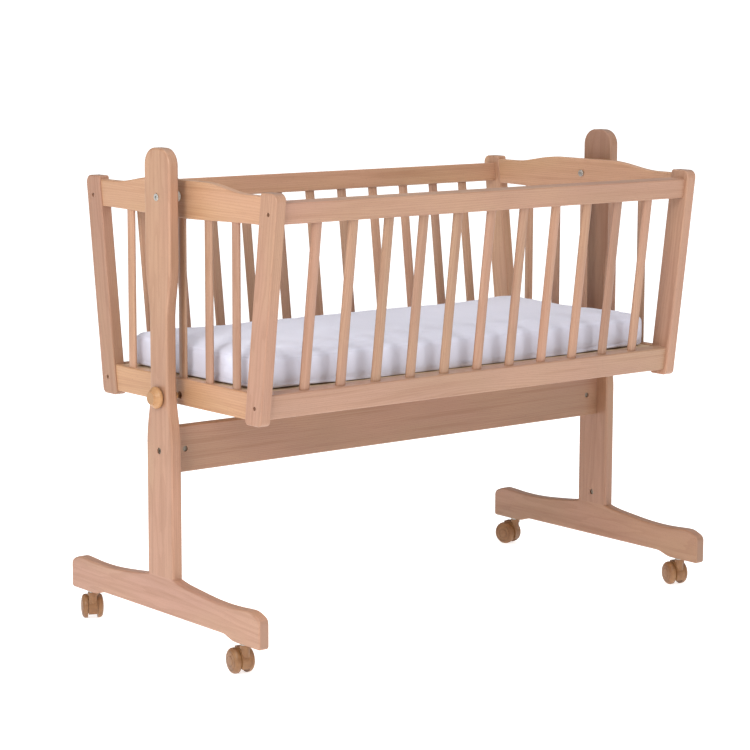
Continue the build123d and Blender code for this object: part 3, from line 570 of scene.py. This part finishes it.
seams = pad.vertex_groups.new(name="seams")
pinned = pad.vertex_groups.new(name="pinned")
for v in pad.data.vertices:
    pull = seam_pull(v.co)
    if pull > 0:
        seams.add([v.index], pull, "REPLACE")
    if v.co.z < low.z + BASE_BAND:
        pinned.add([v.index], 1.0, "REPLACE")
cloth = pad.modifiers.new("cloth", "CLOTH")
settings = cloth.settings
settings.quality = 5
settings.mass = 0.3
settings.tension_stiffness = 12
settings.compression_stiffness = 12
settings.shear_stiffness = 6
settings.bending_stiffness = 0.35
settings.use_pressure = True
settings.uniform_pressure_force = 4.0
settings.effector_weights.gravity = 0
settings.vertex_group_mass = "pinned"
settings.vertex_group_shrink = "seams"
settings.shrink_min = 0.0
settings.shrink_max = 0.05
cloth.collision_settings.use_collision = False
cloth.point_cache.frame_start = 1
cloth.point_cache.frame_end = SIM_FRAMES
for number in range(1, SIM_FRAMES + 1):
    scene.frame_set(number)
apply_modifiers(pad)
scene.frame_set(1)
for v, start in zip(pad.data.vertices, before):
    moved = v.co - start
    if moved.length > SWELL_CAP:
        v.co = start + moved * (SWELL_CAP / moved.length)

# gentle waves of the filling under the cover, puckers, and the pull of the seams
WAVE_SCALE, PUCKER_SCALE = 9, 55
TOP_WAVE, TOP_PUCKER, TOP_PULL = 0.0012, 0.0007, 0.0014
SIDE_WAVE, SIDE_PUCKER, SIDE_PULL = 0.0014, 0.0008, 0.0013
for v, start in zip(pad.data.vertices, before):
    pull = seam_pull(start)
    away = start - MIDDLE
    wave = noise.noise(start * WAVE_SCALE)
    pucker = noise.noise(Vector((start.x * PUCKER_SCALE, start.y * PUCKER_SCALE, 3.0)))
    if start.z > high.z - EDGE_BAND:
        v.co.z += TOP_WAVE * wave + TOP_PUCKER * pucker * min(1.0, pull * 2)
        v.co.z -= TOP_PULL * pull
    elif start.z > low.z + BASE_BAND:
        outward = Vector((0, 0, 0))
        if high.y - MIDDLE.y - abs(away.y) < EDGE_BAND:
            outward.y = math.copysign(1, away.y)
        elif high.x - MIDDLE.x - abs(away.x) < EDGE_BAND:
            outward.x = math.copysign(1, away.x)
        v.co += outward * (SIDE_WAVE * wave + SIDE_PUCKER * pucker - SIDE_PULL * pull)

# the cover stays inside the space between the rails and above the panel
PROUD_X, PROUD_Y, PROUD_Z = 0.0012, 0.004, 0.004
for v in pad.data.vertices:
    v.co.x = max(low.x - PROUD_X, min(high.x + PROUD_X, v.co.x))
    v.co.y = max(low.y - PROUD_Y, min(high.y + PROUD_Y, v.co.y))
    v.co.z = max(low.z, min(high.z + PROUD_Z, v.co.z))
subsurf = pad.modifiers.new("smooth", "SUBSURF")
subsurf.levels = 1
subsurf.render_levels = 1
apply_modifiers(pad)
pad.data.materials.clear()
pad.data.materials.append(cotton("mattress_cotton"))
for polygon in pad.data.polygons:
    polygon.use_smooth = True
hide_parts("mattress")

# ------------------------------------------------------------------ stitching on the cover
surface = BVHTree.FromObject(pad, bpy.context.evaluated_depsgraph_get())


def ring_points(inset, corner, spacing):
    """Points round a rounded rectangle, inset from the pad's sides."""
    hx = high.x - MIDDLE.x - inset - corner
    hy = high.y - MIDDLE.y - inset - corner
    out = []
    runs = [
        ((hx, hy + corner), (-hx, hy + corner)),
        ((-hx - corner, hy), (-hx - corner, -hy)),
        ((-hx, -hy - corner), (hx, -hy - corner)),
        ((hx + corner, -hy), (hx + corner, hy)),
    ]
    centres = [(-hx, hy), (-hx, -hy), (hx, -hy), (hx, hy)]
    starts = [90, 180, 270, 0]
    for (a, b), centre, start in zip(runs, centres, starts):
        a, b = Vector((*a, 0)), Vector((*b, 0))
        count = max(2, round((b - a).length / spacing))
        out += [a.lerp(b, i / count) for i in range(count)]
        count = max(2, round(corner * math.pi / 2 / spacing))
        for i in range(count):
            angle = math.radians(start + 90 * i / count)
            x = centre[0] + corner * math.cos(angle)
            y = centre[1] + corner * math.sin(angle)
            out.append(Vector((x, y, 0)))
    shift = Vector((MIDDLE.x, MIDDLE.y, 0))
    return [point + shift for point in out]


STITCH_STEP = 0.0042   # from one stitch to the next
STITCH_LONG = 0.0031
STITCH_THICK = 0.00042
STITCH_RINGS, STITCH_SIDES = 5, 6


def stitches(name, loops, length, thickness):
    """Short raised threads laid on the cover, one at every point of a loop."""
    bm = bmesh.new()
    for loop in loops:
        count = len(loop)
        for i in range(count):
            here, normal = loop[i]
            there, _ = loop[(i + 1) % count]
            way = there - here
            if way.length < TINY:
                continue
            way.normalize()
            side = way.cross(normal).normalized()
            rings = []
            for step in range(STITCH_RINGS):
                t = step / (STITCH_RINGS - 1)
                lift = math.sin(math.pi * t) * thickness * 0.9 - thickness * 0.35
                width = thickness * (0.35 + 0.65 * math.sin(math.pi * min(max(t, 0.06), 0.94)))
                centre = here + way * (length * (t - 0.5)) + normal * lift
                rings.append(
                    [
                        bm.verts.new(
                            centre
                            + side * (width * math.cos(a))
                            + normal * (width * 0.8 * math.sin(a))
                        )
                        for a in (k * math.tau / STITCH_SIDES for k in range(STITCH_SIDES))
                    ]
                )
            for first, second in zip(rings, rings[1:]):
                for k in range(STITCH_SIDES):
                    after = (k + 1) % STITCH_SIDES
                    bm.faces.new((first[k], first[after], second[after], second[k]))
            bm.faces.new(list(reversed(rings[0])))
            bm.faces.new(rings[-1])
    bmesh.ops.recalc_face_normals(bm, faces=bm.faces)
    mesh = bpy.data.meshes.new(name)
    bm.to_mesh(mesh)
    bm.free()
    obj = bpy.data.objects.new(name, mesh)
    scene.collection.objects.link(obj)
    for polygon in mesh.polygons:
        polygon.use_smooth = True
    return obj


TOP_STITCH_IN = TOP_SEAM + 0.002
TOP_STITCH_CORNER = 0.016
SEAM_ROWS = 0.0015     # half the distance between the two rows round the sides
OUTSIDE = 0.03         # the rows start this far outside the pad, on wider corners
OUTSIDE_CORNER = 0.04
OUTSIDE_STEP = STITCH_STEP * 1.06
AIM = 0.05             # how far towards the middle the rows are thrown
top_loop = []
for point in ring_points(TOP_STITCH_IN, TOP_STITCH_CORNER, STITCH_STEP):
    start = Vector((point.x, point.y, high.z + AIM))
    hit, normal, _, _ = surface.ray_cast(start, Vector((0, 0, -1)))
    if hit is not None:
        top_loop.append((hit, normal))
low_loops = []
for height in (LOW_SEAM - SEAM_ROWS, LOW_SEAM + SEAM_ROWS):
    loop = []
    for point in ring_points(-OUTSIDE, OUTSIDE_CORNER, OUTSIDE_STEP):
        start = Vector((point.x, point.y, low.z + height))
        off = point - MIDDLE
        inward = Vector(
            (
                MIDDLE.x + math.copysign(max(0.0, abs(off.x) - AIM), off.x),
                MIDDLE.y + math.copysign(max(0.0, abs(off.y) - AIM), off.y),
                low.z + height,
            )
        )
        way = (inward - start).normalized()
        hit, normal, _, _ = surface.ray_cast(start, way)
        if hit is not None:
            loop.append((hit, normal))
    low_loops.append(loop)
loops = [top_loop, *low_loops]
seam_thread = stitches("mattress_stitching", loops, STITCH_LONG, STITCH_THICK)
seam_thread.data.materials.append(thread("cotton_thread"))
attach(pad, "basket")
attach(seam_thread, "basket")

# ------------------------------------------------------------------ floor
FLOOR_HALF = 1500.0
FLOOR_GREYS = (0.86, 0.88)
FLOOR_GLOW = (0.72, 0.75)     # keeps the far floor as white as the near floor

bm = bmesh.new()
bmesh.ops.create_grid(bm, x_segments=8, y_segments=8, size=FLOOR_HALF)
floor_mesh = bpy.data.meshes.new("studio_floor")
bm.to_mesh(floor_mesh)
bm.free()
floor = bpy.data.objects.new("studio_floor", floor_mesh)
scene.collection.objects.link(floor)
g = Graph("pale_floor")
speckle = g.noise(g.coordinates(), scale=3, detail=3)
shades = [grey(value) for value in FLOOR_GREYS]
g.put(g.mix(g.steps(speckle, 0.3, 0.7), *shades), g.shader.inputs["Base Color"])
g.put(g.steps(speckle, 0.3, 0.7, 0.8, 0.9), g.shader.inputs["Roughness"])
g.shader.inputs["Specular IOR Level"].default_value = 0.1
g.put(g.steps(speckle, 0.3, 0.7, *FLOOR_GLOW), g.shader.inputs["Emission Strength"])
g.shader.inputs["Emission Color"].default_value = grey(1.0)
floor_mesh.materials.append(g.material)


# ------------------------------------------------------------------ light
SOFTBOXES = {
    # name: (place, what it points at, width and height, watts)
    "left_softbox": ((-2.1, -0.95, 1.45), (-0.2, 0, 0.5), (0.8, 0.8), 25),
    "front_softbox": ((0.6, -4.0, 2.6), (0, 0, 0.5), (1.0, 0.9), 34),
    "top_softbox": ((-0.4, -0.4, 3.6), (0, 0, 0), (2.0, 2.0), 24),
}
WALLS, CEILING = 0.20, 0.80   # brightness of the room at the horizon and overhead
CEILING_FROM = 0.9            # how high the full brightness starts, as a sine
HAZE = 0.85                   # what is added where the floor meets the walls
HAZE_FULL, HAZE_NONE = 0.012, 0.035


def area_light(name, at, aim, size, power):
    data = bpy.data.lights.new(name, "AREA")
    data.shape = "RECTANGLE"
    data.size, data.size_y = size
    data.energy = power
    lamp = bpy.data.objects.new(name, data)
    scene.collection.objects.link(lamp)
    lamp.location = at
    lamp.rotation_mode = "QUATERNION"
    lamp.rotation_quaternion = (Vector(aim) - Vector(at)).to_track_quat("-Z", "Y")


for name, facts in SOFTBOXES.items():
    area_light(name, *facts)

world = bpy.data.worlds.new("studio")
scene.world = world
world.use_nodes = True
tree = world.node_tree
background = tree.nodes["Background"]


def smooth_range(value, *limits):
    """Map a value from one range to another, smoothly, held at the ends."""
    node = tree.nodes.new("ShaderNodeMapRange")
    node.interpolation_type = "SMOOTHSTEP"
    tree.links.new(value, node.inputs["Value"])
    for socket, limit in zip(("From Min", "From Max", "To Min", "To Max"), limits):
        node.inputs[socket].default_value = limit
    return node.outputs[0]


# a bright ceiling over dimmer walls, and a white haze where the floor meets the walls
sky = tree.nodes.new("ShaderNodeTexCoord")
height = tree.nodes.new("ShaderNodeSeparateXYZ")
tree.links.new(sky.outputs["Generated"], height.inputs[0])
from_level = tree.nodes.new("ShaderNodeMath")
from_level.operation = "ABSOLUTE"
tree.links.new(height.outputs[2], from_level.inputs[0])
total = tree.nodes.new("ShaderNodeMath")
rise = smooth_range(height.outputs[2], 0.0, CEILING_FROM, WALLS, CEILING)
haze = smooth_range(from_level.outputs[0], HAZE_FULL, HAZE_NONE, HAZE, 0.0)
tree.links.new(rise, total.inputs[0])
tree.links.new(haze, total.inputs[1])
tree.links.new(total.outputs[0], background.inputs["Strength"])
background.inputs["Color"].default_value = (1.0, 1.0, 1.0, 1.0)
scene.view_settings.view_transform = "Standard"

# ------------------------------------------------------------------ camera
SENSOR_MM, LENS_MM = 36.0, 117.835
CAMERA_AT = Vector((MIDDLE.x - 2.7677, -3.3814, 1.0848))
YAW, PITCH, ROLL = (math.radians(a) for a in (38.81, 8.665, 0.162))
forward = Vector(
    (math.sin(YAW) * math.cos(PITCH), math.cos(YAW) * math.cos(PITCH), -math.sin(PITCH))
)
right = Vector((math.cos(YAW), -math.sin(YAW), 0))
above = right.cross(forward)
level_x = right * math.cos(ROLL) + above * math.sin(ROLL)
level_y = -right * math.sin(ROLL) + above * math.cos(ROLL)
lens = bpy.data.cameras.new("camera")
lens.sensor_width = SENSOR_MM
lens.lens = LENS_MM
camera = bpy.data.objects.new("camera", lens)
scene.collection.objects.link(camera)
camera.matrix_world = Matrix(
    (
        (level_x.x, level_y.x, -forward.x, CAMERA_AT.x),
        (level_x.y, level_y.y, -forward.y, CAMERA_AT.y),
        (level_x.z, level_y.z, -forward.z, CAMERA_AT.z),
        (0, 0, 0, 1),
    )
)
scene.camera = camera
